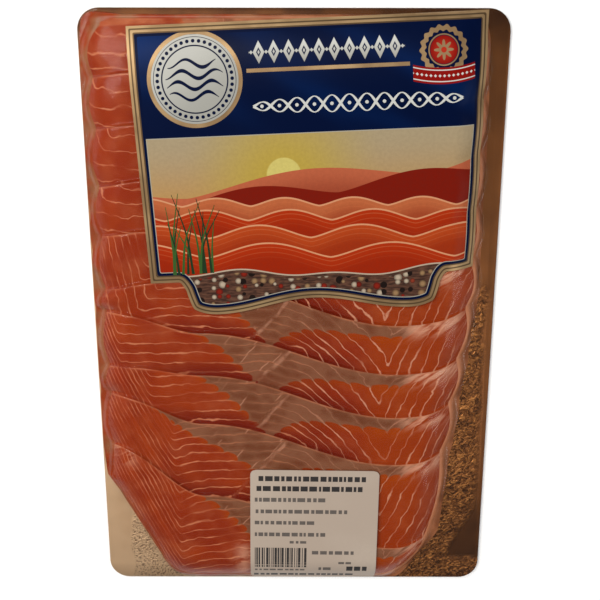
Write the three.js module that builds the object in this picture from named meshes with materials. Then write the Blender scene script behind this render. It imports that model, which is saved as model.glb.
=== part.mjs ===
// A vacuum pack of sliced trout: ten thin slices shingled on a laminated board, in a clear bag
// drawn tight over them, with a die-cut front label and a small paper label stuck on the film.
//
// Millimetres, +Z up. The pack lies on its back: Z = 0 is the underside of the board, X = 0 and
// Y = 0 are the middle of the board, and +Y is the end that the front label is stuck to.
//
// The bag is drawn so tight that it and what it holds are one body. Its upper surface is a
// height over the board: a pillow with soft sides, and on it one low step for each slice.

import * as THREE from 'three';

// ---------------------------------------------------------------- driving dimensions

const BOARD_WIDTH = 174;
const BOARD_LENGTH = 261;
const BOARD_CORNER = 9;
const BOARD_TOP = 1.1;

const SEAL_WIDTH = 2.5; // the welded edge of the bag, round the board
const SEAL_THICK = 0.4;
const BOARD_STEP = 0.5; // the film's run down the board's cut edge, in plan

const PILE_HEIGHT = 8.4; // of the pressed slices, above the board
const PILE_SIDE = 2.6; // height at which a slice's cut end meets the film
const PILE_SHOULDER = 12; // how far in from its edge the pile reaches its full height
const FAR_SHOULDER = 30; // the same at the far end, where fewer slices overlap
const FILM_FOOT = 3.5; // how far out from the pile the film comes down to the board
const SLICE_STEP = 1.3; // how far a slice's top edge stands over the slice above it
const STEP_RUN = 1.1; // the film's slope at such an edge, in plan

const LABEL_GAP = 0.4; // a label bridges the film's small hollows
const LABEL_THICK = 0.25;

// Each slice from the far end: the height of its top edge in the middle of the pack, how far
// that edge falls from left to right, and how far it rises at the slice's left end.
const SLICES = [
  { top: 122.5, fall: 2.5, rise: 1 },
  { top: 98, fall: 8, rise: 5 },
  { top: 76, fall: 9, rise: 6 },
  { top: 53, fall: 10, rise: 5 },
  { top: 31, fall: 10, rise: 6 },
  { top: 9.4, fall: 10, rise: 4 },
  { top: -13.6, fall: 9.5, rise: 17 },
  { top: -33.6, fall: 10, rise: 12 },
  { top: -56.6, fall: 10, rise: 22 },
  { top: -95.6, fall: 13.5, rise: 36 },
];
const EDGE_MIDDLE = 2.6; // x at which a slice's top edge has its middle height
const EDGE_SPAN = 84; // from the edge's highest to its lowest point, left to right
const RISE_START = -40;
const RISE_END = -83;

// The outline of the pile on the board.
const PILE_LEFT = -83.5;
const PILE_TOP = 127;
const PILE_BOTTOM = -127;
const PILE_RIGHT = 77.5; // as far down as RIGHT_TURN
const RIGHT_TURN = 12;
const RIGHT_DRAFT = 0.12; // below it, how far the edge moves in for each mm
const RIGHT_TAIL = -104; // the last slice ends rounded from here on
const RIGHT_TAIL_PULL = 11;
const LEFT_TURN = -75; // below it, the last slice's edge slants in
const LEFT_DRAFT = 0.53;
const SCALLOP = 2.2; // the hollow between the round ends of two slices
const CORNER_BLEND = 9;

// The front label: half widths from its own centre line, lengths down from its top edge.
const FRONT_TOP_CENTRE = [3.3, 126.6];
const FRONT_TURN = THREE.MathUtils.degToRad(2.55);
const FRONT_TOP_LEFT = 69.9;
const FRONT_TOP_RIGHT = 74.5;
const FRONT_SHOULDER = 68.3;
const FRONT_SIDE = 105; // length of the side, down to the shoulder
const FRONT_TONGUE = [50.5, 56.5]; // half widths between which its tongue leaves the shoulders
const FRONT_LOBE = 40.5; // from the centre line to the lowest point of a lobe
const FRONT_LOBE_END = 119.9;
const FRONT_WAIST_END = 114.1; // length at the centre line, between the lobes
const FRONT_LOBE_ROUND = 13; // half width and rise of the round outer side of a lobe
const FRONT_LOBE_RISE = 7;
const FRONT_ROWS = 15;

// The paper label.
const INFO_WIDTH = 58;
const INFO_LENGTH = 60;
const INFO_CORNER = 2.5;
const INFO_TOP_CENTRE = [9.5, -68.9];
const INFO_TURN = THREE.MathUtils.degToRad(-0.6);

// ---------------------------------------------------------------- small helpers

const clamp01 = (t) => Math.min(1, Math.max(0, t));

/** 0 at a, 1 at b, with level ends. */
function ease(a, b, x) {
  const t = clamp01((x - a) / (b - a));
  return t * t * (3 - 2 * t);
}

/** The smaller of two distances, rounded where they are nearly equal. */
function softMin(a, b, radius) {
  const h = clamp01(0.5 + (0.5 * (b - a)) / radius);
  return b + (a - b) * h - radius * h * (1 - h);
}

/** n + 1 values from a to b, closer together near both ends as crowd goes to 1. */
function spread(a, b, n, crowd = 0) {
  return Array.from({ length: n + 1 }, (_, i) => {
    const even = i / n;
    const packed = (1 - Math.cos(Math.PI * even)) / 2;
    return a + (b - a) * (even + (packed - even) * crowd);
  });
}

// ---------------------------------------------------------------- the surface of the pack

/** The y of a slice's top edge at x. */
function topEdge(slice, x) {
  const along = (x - EDGE_MIDDLE) / EDGE_SPAN;
  return slice.top - slice.fall * Math.sin(Math.PI * along) + slice.rise * ease(RISE_START, RISE_END, x);
}

/** How far down the showing strip of its slice a point lies, 0 to 1, and whether it lies on it. */
function stripAt(x, y) {
  let index = 0;
  while (index < SLICES.length - 1 && y <= topEdge(SLICES[index + 1], x)) index += 1;
  const start = topEdge(SLICES[index], x);
  const last = index === SLICES.length - 1;
  const end = last ? PILE_BOTTOM : topEdge(SLICES[index + 1], x) + STEP_RUN;
  return { down: clamp01((start - y) / (start - end)), onSlice: y <= start };
}

/** Distance inside the pile's outline, negative outside it. */
function insidePile(x, y) {
  const { down } = stripAt(x, y);
  const hollow = SCALLOP * (1 - Math.sin(Math.PI * down));
  const tail = RIGHT_TAIL_PULL * ease(RIGHT_TAIL, PILE_BOTTOM, y);
  const right = PILE_RIGHT - RIGHT_DRAFT * Math.max(0, RIGHT_TURN - y) - tail - hollow;
  const slant = LEFT_DRAFT * Math.max(0, LEFT_TURN - y);
  const left = PILE_LEFT + slant + (slant > 0 ? 0 : hollow);
  const across = softMin(right - x, (x - left) * (slant > 0 ? 0.9 : 1), CORNER_BLEND);
  const fromFar = PILE_TOP - y;
  const farEnd = fromFar > 0 ? (fromFar * PILE_SHOULDER) / FAR_SHOULDER : fromFar;
  const along = softMin(farEnd, y - PILE_BOTTOM, CORNER_BLEND);
  return softMin(across, along, CORNER_BLEND);
}

/** Height of the smooth pillow over the board: the cut side, then the film's slope outside it. */
function pillow(x, y) {
  const inside = insidePile(x, y);
  if (inside < 0) return PILE_SIDE * ease(-FILM_FOOT, 0, inside);
  const short = 1 - clamp01(inside / PILE_SHOULDER);
  return PILE_SIDE + (PILE_HEIGHT - PILE_SIDE) * (1 - short * short);
}

/** How high a point of a slice's strip stands on its step: 1 at its top edge, 0 at the next. */
function shingle(x, y) {
  const { down, onSlice } = stripAt(x, y);
  return onSlice ? 1 - down : 0;
}

/** Upper surface of the film over the contents. */
function filmHeight(x, y) {
  return BOARD_TOP + pillow(x, y) * (1 + (SLICE_STEP / PILE_HEIGHT) * shingle(x, y));
}

/** Surface on which a label lies: over the slices' steps, and along the pillow. */
function labelHeight(x, y) {
  return BOARD_TOP + pillow(x, y) * (1 + SLICE_STEP / PILE_HEIGHT) + LABEL_GAP;
}

// ---------------------------------------------------------------- meshes from grids

/** A closed body between an upper and a lower grid of points with the same edge. */
function slabGeometry(upper, lower) {
  const rows = upper.length;
  const columns = upper[0].length;
  const positions = [...upper.flat(2), ...lower.flat(2)];
  const top = (j, i) => j * columns + i;
  const under = (j, i) => rows * columns + j * columns + i;
  const faces = [];
  const quad = (a, b, c, d) => faces.push(a, b, c, a, c, d);
  for (let j = 0; j < rows - 1; j += 1) {
    for (let i = 0; i < columns - 1; i += 1) {
      quad(top(j, i), top(j + 1, i), top(j + 1, i + 1), top(j, i + 1));
      quad(under(j, i), under(j, i + 1), under(j + 1, i + 1), under(j + 1, i));
    }
  }
  for (const [here, ahead] of rim(rows, columns)) {
    quad(top(...here), under(...here), under(...ahead), top(...ahead));
  }
  return closedGeometry(positions, faces);
}

/** The edge of a grid as pairs of neighbours, once round. */
function rim(rows, columns) {
  const path = [];
  for (let j = 0; j < rows - 1; j += 1) path.push([j, 0]);
  for (let i = 0; i < columns - 1; i += 1) path.push([rows - 1, i]);
  for (let j = rows - 1; j > 0; j -= 1) path.push([j, columns - 1]);
  for (let i = columns - 1; i > 0; i -= 1) path.push([0, i]);
  return path.map((cell, at) => [cell, path[(at + 1) % path.length]]);
}

function closedGeometry(positions, faces) {
  const geometry = new THREE.BufferGeometry();
  geometry.setAttribute('position', new THREE.Float32BufferAttribute(positions, 3));
  geometry.setIndex(faces);
  geometry.computeVertexNormals();
  return geometry;
}

// ---------------------------------------------------------------- the sealed pack

/** Half width of a rounded rectangle at a height y. */
function roundedHalfWidth(halfWidth, halfLength, corner, y) {
  const past = Math.max(0, Math.abs(y) - (halfLength - corner));
  return halfWidth - corner + Math.sqrt(Math.max(0, corner * corner - past * past));
}

const SEAL_HALF_WIDTH = BOARD_WIDTH / 2 + SEAL_WIDTH;
const SEAL_HALF_LENGTH = BOARD_LENGTH / 2 + SEAL_WIDTH;
const SEAL_CORNER = BOARD_CORNER + SEAL_WIDTH;
const SEAL_LIP = 1.6; // a line of the grid on the flat of the seal
const BOARD_RIM = 1.4; // and one on the flat of the board
const FAR_ROLL = 1.2; // rows where the pile's two ends roll over
const NEAR_ROLL = 5;
const STRIP_ROWS = 3;
const LAST_STRIP_ROWS = 8;
const COLUMNS = 44;
const COLUMN_CROWD = 0.45; // share of the columns' spacing that closes up at the sides

/** Places across the edge of the pack: the seal, the step up to the board, and its rim. */
function edgeLines(boardHalf) {
  return [SEAL_WIDTH, SEAL_LIP, BOARD_STEP, 0, -BOARD_RIM].map((past) => boardHalf + past);
}

/** Rows of the grid as functions of x: two on each slice's step, and some between steps. */
function packRows() {
  const level = (y) => () => y;
  const ends = edgeLines(BOARD_LENGTH / 2);
  const rows = ends.map(level);
  SLICES.forEach((slice, k) => {
    const next = SLICES[k + 1];
    const end = next ? (x) => topEdge(next, x) + STEP_RUN : level(PILE_BOTTOM + NEAR_ROLL);
    const between = next ? STRIP_ROWS : LAST_STRIP_ROWS;
    rows.push((x) => topEdge(slice, x) + (k === 0 ? FAR_ROLL : STEP_RUN));
    for (let i = 0; i < between; i += 1) {
      rows.push((x) => THREE.MathUtils.lerp(topEdge(slice, x), end(x), i / between));
    }
  });
  for (const share of [0.5, 0.1, -0.25]) rows.push(level(PILE_BOTTOM + NEAR_ROLL * share));
  rows.push(...ends.reverse().map((y) => level(-y)));
  return rows;
}

/** Columns as signed shares of the half width. */
function packColumns() {
  const edge = edgeLines(BOARD_WIDTH / 2);
  const rim = edge.pop();
  const inner = spread(-rim, rim, COLUMNS, COLUMN_CROWD);
  return [...edge.map((x) => -x), ...inner, ...edge.reverse()].map((x) => x / SEAL_HALF_WIDTH);
}

/** Distance inside the outline of the bag. */
function insideBag(x, y) {
  const across = roundedHalfWidth(SEAL_HALF_WIDTH, SEAL_HALF_LENGTH, SEAL_CORNER, y) - Math.abs(x);
  return Math.min(across, SEAL_HALF_LENGTH - Math.abs(y));
}

function packTopHeight(x, y) {
  const onBoard = ease(SEAL_WIDTH - BOARD_STEP, SEAL_WIDTH, insideBag(x, y));
  return THREE.MathUtils.lerp(SEAL_THICK, filmHeight(x, y), onBoard);
}

function sealedPack() {
  const shares = packColumns();
  const upper = packRows().map((row) =>
    shares.map((share) => {
      const flatX = share * SEAL_HALF_WIDTH;
      const y = row(flatX);
      const x = share * roundedHalfWidth(SEAL_HALF_WIDTH, SEAL_HALF_LENGTH, SEAL_CORNER, y);
      return [x, y, packTopHeight(x, y)];
    }),
  );
  return flatBacked(upper);
}

/** Closes a grid of heights with a wall down to z = 0 and one flat back. */
function flatBacked(upper) {
  const rows = upper.length;
  const columns = upper[0].length;
  const positions = upper.flat(2);
  const faces = [];
  const top = (j, i) => j * columns + i;
  for (let j = 0; j < rows - 1; j += 1) {
    for (let i = 0; i < columns - 1; i += 1) {
      faces.push(top(j, i), top(j + 1, i), top(j + 1, i + 1));
      faces.push(top(j, i), top(j + 1, i + 1), top(j, i + 1));
    }
  }
  const edge = rim(rows, columns);
  const firstFoot = positions.length / 3;
  for (const [[j, i]] of edge) positions.push(upper[j][i][0], upper[j][i][1], 0);
  const hub = positions.length / 3;
  positions.push(0, 0, 0);
  edge.forEach(([here, ahead], at) => {
    const foot = firstFoot + at;
    const nextFoot = firstFoot + ((at + 1) % edge.length);
    faces.push(top(...here), foot, nextFoot, top(...here), nextFoot, top(...ahead));
    faces.push(foot, hub, nextFoot);
  });
  return closedGeometry(positions, faces);
}

// ---------------------------------------------------------------- the labels

/** Length of the front label at a distance from its centre line: two lobes, then the shoulder. */
function frontLength(x) {
  const out = Math.abs(x);
  const wave = (1 + Math.cos((Math.PI * Math.min(out, FRONT_LOBE)) / FRONT_LOBE)) / 2;
  const round = clamp01((out - FRONT_LOBE) / FRONT_LOBE_ROUND);
  const lobe = FRONT_LOBE_END - (FRONT_LOBE_END - FRONT_WAIST_END) * wave;
  const rounded = lobe - FRONT_LOBE_RISE * (1 - Math.sqrt(1 - round * round));
  return THREE.MathUtils.lerp(rounded, FRONT_SIDE, ease(...FRONT_TONGUE, out));
}

/** Lays a flat grid of label points on the pack and gives it its thickness. */
function laidLabel(flat, [cx, cy], turn) {
  const place = (lift) =>
    flat.map((row) =>
      row.map(([x, y]) => {
        const px = cx + x * Math.cos(turn) - y * Math.sin(turn);
        const py = cy + x * Math.sin(turn) + y * Math.cos(turn);
        return [px, py, labelHeight(px, py) + lift];
      }),
    );
  return slabGeometry(place(LABEL_THICK), place(0));
}

function frontLabel() {
  const rows = spread(0, 1, FRONT_ROWS, 0.6);
  const [tongue, shoulder] = FRONT_TONGUE;
  const wing = spread(shoulder, FRONT_SHOULDER, 3);
  const step = [...spread(FRONT_LOBE, tongue, 4), ...spread(tongue, shoulder, 5).slice(1, -1)];
  const middle = spread(-FRONT_LOBE, FRONT_LOBE, 20).slice(1, -1);
  const mirrored = (values) => values.map((x) => -x).reverse();
  const columns = [...mirrored(wing), ...mirrored(step), ...middle, ...step, ...wing];
  const flat = rows.map((down) =>
    columns.map((x) => {
      const topHalf = x < 0 ? FRONT_TOP_LEFT : FRONT_TOP_RIGHT;
      const length = frontLength(x) * down;
      const flare = THREE.MathUtils.lerp(topHalf / FRONT_SHOULDER, 1, clamp01(length / FRONT_SIDE));
      return [x * flare, -length];
    }),
  );
  return laidLabel(flat, FRONT_TOP_CENTRE, FRONT_TURN);
}

function infoLabel() {
  const half = INFO_LENGTH / 2;
  const corner = spread(0, INFO_CORNER, 3);
  const length = [...corner, ...spread(INFO_CORNER, INFO_LENGTH - INFO_CORNER, 14).slice(1, -1)];
  const rows = [...length, ...corner.map((d) => INFO_LENGTH - d).reverse()];
  const shares = spread(-1, 1, 14);
  const flat = rows.map((down) => {
    const halfWidth = roundedHalfWidth(INFO_WIDTH / 2, half, INFO_CORNER, half - down);
    return shares.map((share) => [share * halfWidth, -down]);
  });
  return laidLabel(flat, INFO_TOP_CENTRE, INFO_TURN);
}

// ---------------------------------------------------------------- the assembly

function piece(name, geometry, colour, roughness, metalness = 0) {
  const material = new THREE.MeshStandardMaterial({ color: colour, roughness, metalness });
  const mesh = new THREE.Mesh(geometry, material);
  mesh.name = name;
  return mesh;
}

const pack = new THREE.Group();
pack.add(
  piece('sealed_pack', sealedPack(), '#c9562c', 0.25),
  piece('front_label', frontLabel(), '#10255a', 0.3),
  piece('info_label', infoLabel(), '#e9e2da', 0.7),
);

export default pack;
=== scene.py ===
"""A vacuum pack of sliced trout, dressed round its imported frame.

Ten thin slices lie shingled on a gold laminated board, in a clear bag drawn tight over them. A
die-cut front label and a small paper label are stuck on the film. Lengths are millimetres, in the
frame's own axes, until a mesh is made: X across the board, Y along it, Z up. Noise, the board's
material, the studio and the settings are in metres.
"""

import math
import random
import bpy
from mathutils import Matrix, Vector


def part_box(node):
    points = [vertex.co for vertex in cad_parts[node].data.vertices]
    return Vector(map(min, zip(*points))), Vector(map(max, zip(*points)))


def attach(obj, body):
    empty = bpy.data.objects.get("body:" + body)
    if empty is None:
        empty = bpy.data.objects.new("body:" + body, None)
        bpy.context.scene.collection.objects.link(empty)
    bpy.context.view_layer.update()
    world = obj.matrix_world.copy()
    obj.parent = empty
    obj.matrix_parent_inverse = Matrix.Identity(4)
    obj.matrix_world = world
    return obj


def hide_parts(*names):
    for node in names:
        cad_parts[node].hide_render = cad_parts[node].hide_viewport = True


bl_info = {
    "name": "Sliced trout pack",
    "version": (1, 0, 0),
    "blender": (4, 5, 0),
    "location": "View3D > Sidebar > Trout Pack",
    "description": "Builds the slices, board, film, labels and studio of a vacuum pack of sliced trout",
    "category": "Object",
}

from collections import namedtuple
from functools import cached_property

import bpy
import numpy as np
from mathutils import Matrix, Vector

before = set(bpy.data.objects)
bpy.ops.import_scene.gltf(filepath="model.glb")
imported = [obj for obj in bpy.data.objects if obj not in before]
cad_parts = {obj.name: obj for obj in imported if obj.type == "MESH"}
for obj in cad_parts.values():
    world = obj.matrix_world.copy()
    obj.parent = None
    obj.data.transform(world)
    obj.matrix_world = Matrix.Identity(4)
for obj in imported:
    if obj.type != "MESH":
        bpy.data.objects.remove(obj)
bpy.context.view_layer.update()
PACK_LOW, PACK_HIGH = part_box("sealed_pack")
MM = 0.001

# ---------------------------------------------------------------- the pack's form, as in the frame

SEAL_WIDTH = 2.5
SEAL_THICK = 0.4
SEAL_HALF_WIDTH = (PACK_HIGH.x - PACK_LOW.x) / MM / 2
SEAL_HALF_LENGTH = (PACK_HIGH.y - PACK_LOW.y) / MM / 2
BOARD_HALF_WIDTH = SEAL_HALF_WIDTH - SEAL_WIDTH
BOARD_HALF_LENGTH = SEAL_HALF_LENGTH - SEAL_WIDTH
BOARD_CORNER = 9.0
BOARD_TOP = 1.1
BOARD_STEP = 0.5

PILE_HEIGHT = 8.4
PILE_SIDE = 2.6
PILE_SHOULDER = 12.0
FAR_SHOULDER = 30.0
FILM_FOOT = 3.5
SLICE_STEP = 1.3
STEP_RUN = 1.1
LABEL_GAP = 0.4
LABEL_THICK = 0.25

EDGE_MIDDLE = 2.6
EDGE_SPAN = 84.0
RISE_START = -40.0
RISE_END = -83.0

PILE_LEFT = -83.5
PILE_TOP = 127.0
PILE_BOTTOM = -127.0
PILE_RIGHT = 77.5
RIGHT_TURN = 12.0
RIGHT_DRAFT = 0.12
RIGHT_TAIL = -104.0
RIGHT_TAIL_PULL = 11.0
LEFT_TURN = -75.0
LEFT_DRAFT = 0.53
SCALLOP = 2.2
CORNER_BLEND = 9.0

# One slice. top, fall and rise give its top edge, as in the frame. The rest place its marks:
# hook_x, where the back's fat lines turn up at the left; lean, how steep they are beyond it; drop,
# how much of that limb is level; line_y, the height of one line; crest, how far lines rise
# to the right of the hook; tip, where the grey starts on the top edge; arc_x and vee_x, places of
# the belly's arcs and of the fatty V between belly and flap.
Slice = namedtuple("Slice", "top fall rise hook_x lean drop line_y crest tip arc_x vee_x")
SLICES = [
    Slice(122.5, 2.5, 1, -90, 1.0, 0.1, 107.0, 0.4, -45, 12.0, 41.0),
    Slice(98, 8, 5, -90, 1.0, 0.1, 85.0, 0.5, -46, 13.0, 42.0),
    Slice(76, 9, 6, -90, 1.0, 0.1, 61.0, 0.5, -44, 11.5, 40.0),
    Slice(53, 10, 5, -90, 1.0, 0.1, 40.0, 0.4, -45, 12.5, 42.0),
    Slice(31, 10, 6, -66, 1.4, 0.3, 16.0, 1.0, -43, 9.5, 40.5),
    Slice(9.4, 10, 4, -71, 1.0, 0.1, -1.4, 1.5, -43, 13.2, 41.6),
    Slice(-13.6, 9.5, 17, -76, 2.5, 1.0, -8.9, 0.5, -43.4, 12.7, 36.0),
    Slice(-33.6, 10, 12, -63, 2.0, 1.0, -31.5, 1.0, -43.4, 11.0, 42.5),
    Slice(-56.6, 10, 22, -53.5, 2.0, 1.0, -56.4, 5.0, -62.4, 12.0, 37.0),
    Slice(-95.6, 13.5, 36, -52.0, 2.2, 1.0, -89.6, 6.5, -43.4, 12.0, 42.0),
]
LAST = len(SLICES) - 1

# Each label has the middle of its top edge and its turn; the front one then half widths and lengths.
FRONT_PLACE = ((3.3, 126.6), math.radians(2.55))
FRONT_TOP_LEFT = 69.9
FRONT_TOP_RIGHT = 74.5
FRONT_SHOULDER = 68.3
FRONT_SIDE = 105.0
FRONT_TONGUE = (50.5, 56.5)
FRONT_LOBE = 40.5
FRONT_LOBE_END = 119.9
FRONT_WAIST_END = 114.1
FRONT_LOBE_ROUND = 13.0
FRONT_LOBE_RISE = 7.0

INFO_PLACE = ((9.5, -68.9), math.radians(-0.6))
INFO_WIDTH = 58.0
INFO_LENGTH = 60.0
INFO_CORNER = 2.5

# ---------------------------------------------------------------- looks only

SKIN = 0.2  # the slices lie this far under the outer face of the film
TUCK = 9.0  # how far a slice reaches under the next one
SEAM_GAP = 0.05  # between one slice and the edge of the next
HAIR = 0.02  # keeps faces that would touch apart
BOARD_LEVELS = (0.32, BOARD_TOP - 0.05)  # underside and top of the gold board
BACK_LEVELS = (0.06, 0.31)  # and of its plain back
BOARD_INSET = 0.1  # of both, inside the bag
HALVINGS = 34  # steps of a search for the pile's outline
ROW_STEP = 0.85
FILM_ROW_STEP = 1.25
SLICE_COLUMNS = 170
FILM_COLUMNS = 150
FAR_SLICES = 4  # slices that the front label mostly covers
LINE_X = -38.0  # where a slice's line_y is its line's height
HOOK_RUN = 11.0  # in which a line levels out to the right of its hook
VEE_LEVEL = -1.0
VEE_DEPTH = 18.0
REACH = 0.2  # over which the slope of the fat lines is taken
INK_LIFT = 0.04  # of printed strokes over their label
FILM_REFLECTION = 0.2  # share of a clean film's reflection


def size_of(name):
    """A size that a user has set, in millimetres."""
    return getattr(bpy.context.scene.trout_sizes, name) / MM


def ease(low, high, value):
    """0 at low, 1 at high, with level ends."""
    t = np.clip((value - low) / (high - low), 0.0, 1.0)
    return t * t * (3.0 - 2.0 * t)


def bell(value, centre, width):
    return np.exp(-(((value - centre) / width) ** 2))


def soft_min(a, b, radius):
    """The smaller of two values, rounded where they are nearly equal."""
    h = np.clip(0.5 + 0.5 * (b - a) / radius, 0.0, 1.0)
    return b + (a - b) * h - radius * h * (1.0 - h)


def top_edge(k, x):
    """The y of slice k's top edge at x."""
    cut = SLICES[k]
    wave = np.sin(math.pi * (x - EDGE_MIDDLE) / EDGE_SPAN)
    return cut.top - cut.fall * wave + cut.rise * ease(RISE_START, RISE_END, x)


def strip_at(x, y):
    """How far down its slice's strip a point lies, and if it is below the first top edge."""
    start = top_edge(0, x) + 0.0 * y
    end = top_edge(1, x) + STEP_RUN + 0.0 * y
    for k in range(1, len(SLICES)):
        top = top_edge(k, x)
        below = PILE_BOTTOM if k == LAST else top_edge(k + 1, x) + STEP_RUN
        end = np.where(y <= top, below, end)
        start = np.where(y <= top, top, start)
    return np.clip((start - y) / (start - end), 0.0, 1.0), y <= start


def inside_pile(x, y, scallop=SCALLOP):
    """Distance inside the pile's outline, negative outside it."""
    hollow = scallop * (1.0 - np.sin(math.pi * strip_at(x, y)[0]))
    tail = RIGHT_TAIL_PULL * ease(RIGHT_TAIL, PILE_BOTTOM, y)
    right = PILE_RIGHT - RIGHT_DRAFT * np.maximum(0.0, RIGHT_TURN - y) - tail - hollow
    slant = LEFT_DRAFT * np.maximum(0.0, LEFT_TURN - y)
    left = PILE_LEFT + slant + np.where(slant > 0, 0.0, hollow)
    across = soft_min(right - x, (x - left) * np.where(slant > 0, 0.9, 1.0), CORNER_BLEND)
    from_far = PILE_TOP - y
    far_end = np.where(from_far > 0, from_far * PILE_SHOULDER / FAR_SHOULDER, from_far)
    along = soft_min(far_end, y - PILE_BOTTOM, CORNER_BLEND)
    return soft_min(across, along, CORNER_BLEND)


def step_share(x, y):
    """1 on a slice's top edge, 0 at the next one, with the film's short slope between the two."""
    down, on_slice = strip_at(x, y)
    share = np.where(on_slice, 1.0 - down, 0.0)
    for k in range(len(SLICES)):
        gap = y - top_edge(k, x)
        share = np.where((gap > 0) & (gap < STEP_RUN), ease(STEP_RUN, 0.0, gap), share)
    return share


def pile_height(x, y, share):
    """Height of the pile, or the film's slope outside it, with a share of a slice's step on it."""
    inside = inside_pile(x, y)
    short = 1.0 - np.clip(inside / PILE_SHOULDER, 0.0, 1.0)
    pile = PILE_SIDE + (PILE_HEIGHT - PILE_SIDE) * (1.0 - short * short)
    pillow = np.where(inside < 0, PILE_SIDE * ease(-FILM_FOOT, 0.0, inside), pile)
    return BOARD_TOP + pillow * (1.0 + SLICE_STEP / PILE_HEIGHT * share)


def rounded_half_width(half_width, half_length, corner, y):
    """Half width at y of a rectangle with rounded corners."""
    past = np.maximum(0.0, np.abs(y) - (half_length - corner))
    return half_width - corner + np.sqrt(np.maximum(0.0, corner * corner - past * past))


def front_length(x):
    """Length of the front label at a distance from its middle line."""
    out = np.abs(x)
    wave = (1.0 + np.cos(math.pi * np.minimum(out, FRONT_LOBE) / FRONT_LOBE)) / 2.0
    turn = np.clip((out - FRONT_LOBE) / FRONT_LOBE_ROUND, 0.0, 1.0)
    lobe = FRONT_LOBE_END - (FRONT_LOBE_END - FRONT_WAIST_END) * wave
    rounded = lobe - FRONT_LOBE_RISE * (1.0 - np.sqrt(1.0 - turn * turn))
    return rounded + (FRONT_SIDE - rounded) * ease(*FRONT_TONGUE, out)


# ---------------------------------------------------------------- meshes


def spread(low, high, count, crowd=0.0):
    """count + 1 values, closer together near both ends as crowd goes to 1."""
    even = np.linspace(0.0, 1.0, count + 1)
    packed = (1.0 - np.cos(math.pi * even)) / 2.0
    return low + (high - low) * (even + (packed - even) * crowd)


def last_inside(test, low, high):
    """The value furthest from low, towards high, at which a test still holds."""
    for _ in range(HALVINGS):
        middle = (low + high) / 2.0
        within = test(middle)
        low = np.where(within, middle, low)
        high = np.where(within, high, middle)
    return low


def slab_faces(rows, columns, first=0):
    """Quads of a closed body: an upper grid, a lower grid after it, and the wall between them."""
    at = first + np.arange(rows * columns).reshape(rows, columns)
    under = rows * columns
    upper = np.stack([at[:-1, :-1], at[1:, :-1], at[1:, 1:], at[:-1, 1:]], axis=-1).reshape(-1, 4)
    edge = np.concatenate([at[:-1, 0], at[-1, :-1], at[:0:-1, -1], at[0, :0:-1]])
    ahead = np.roll(edge, -1)
    wall = np.stack([edge, edge + under, ahead + under, ahead], axis=-1)
    return np.concatenate([upper, upper[:, ::-1] + under, wall])


def tube_faces(rows, columns):
    """Quads of a grid that closes on itself both ways."""
    at = np.arange(rows * columns).reshape(rows, columns)
    below = np.roll(at, -1, axis=0)
    corners = [at, below, np.roll(below, -1, axis=1), np.roll(at, -1, axis=1)]
    return np.stack(corners, axis=-1).reshape(-1, 4)


def link(name, data):
    """A new object in the scene."""
    thing = bpy.data.objects.new(name, data)
    bpy.context.scene.collection.objects.link(thing)
    return thing


def make_mesh(name, points, faces, values=None, inks=None, sharp=40):
    """A mesh object from points in millimetres, with named float values at its points."""
    mesh = bpy.data.meshes.new(name)
    mesh.from_pydata((np.asarray(points) * MM).tolist(), [], faces)
    for label, numbers in (values or {}).items():
        mesh.attributes.new(label, "FLOAT", "POINT").data.foreach_set("value", np.ravel(numbers))
    if inks is not None:
        colours = np.column_stack([inks, np.ones(len(inks))])
        mesh.attributes.new("ink", "FLOAT_COLOR", "POINT").data.foreach_set("color", colours.ravel())
    mesh.validate()
    mesh.shade_smooth()
    mesh.set_sharp_from_angle(angle=math.radians(sharp))
    return link(name, mesh)


def slab(name, upper, lower, marks=None, sharp=40):
    """A closed body between two grids of points, with the same marks on both."""
    points = np.concatenate([upper.reshape(-1, 3), lower.reshape(-1, 3)])
    values = {key: np.tile(np.ravel(numbers), 2) for key, numbers in (marks or {}).items()}
    return make_mesh(name, points, slab_faces(*upper.shape[:2]).tolist(), values, sharp=sharp)


def dress(piece, material, node):
    """Every piece wears a material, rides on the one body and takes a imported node's place."""
    piece.data.materials.append(material)
    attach(piece, "root")
    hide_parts(node)


# ---------------------------------------------------------------- shader building

MIX_INPUTS = (0, 6, 7)  # a Mix node's sockets for a share and two colours
MIX_RESULT = 2


def srgb(*screen):
    """A colour given as 0 to 255 screen values, in linear light."""
    values = np.array(screen) / 255.0
    return np.where(values <= 0.04045, values / 12.92, ((values + 0.055) / 1.055) ** 2.4).tolist()


class Value:
    """What a node gives. Sums with it, and & and | for smaller and larger, add math nodes."""

    def __init__(self, wire, socket):
        self.wire = wire
        self.socket = socket

    def other(self, name):
        """Another output of the same node."""
        return Value(self.wire, self.socket.node.outputs[name])

    def math(self, operation, *values, clamp=False):
        return self.wire.math(operation, self, *values, clamp=clamp)

    def __abs__(self):
        return self.math("ABSOLUTE")

    def step(self, low, high, start=0.0, end=1.0):
        """start at low, end at high, with level ends."""
        inputs = dict(enumerate((self, low, high, start, end)))
        return self.wire.add("ShaderNodeMapRange", inputs, interpolation_type="SMOOTHSTEP")

    def under(self, limit, soft=0.08):
        """1 where this is below a limit, with a soft edge."""
        return self.step(limit + soft, limit - soft)

    def near(self, centre, half, soft=0.08):
        """1 where this is within half of a centre."""
        return abs(self - centre).under(half, soft)


def operator_for(operation, swap):
    """The method of a Python operator, which adds a math node."""
    def method(self, value):
        pair = (value, self) if swap else (self, value)
        return self.wire.math(operation, *pair)
    return method


OPERATIONS = {"add": "ADD", "sub": "SUBTRACT", "mul": "MULTIPLY", "truediv": "DIVIDE", "pow": "POWER",
              "and": "MINIMUM", "or": "MAXIMUM"}
for sign, operation in OPERATIONS.items():
    setattr(Value, f"__{sign}__", operator_for(operation, False))
    setattr(Value, f"__r{sign}__", operator_for(operation, True))


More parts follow.
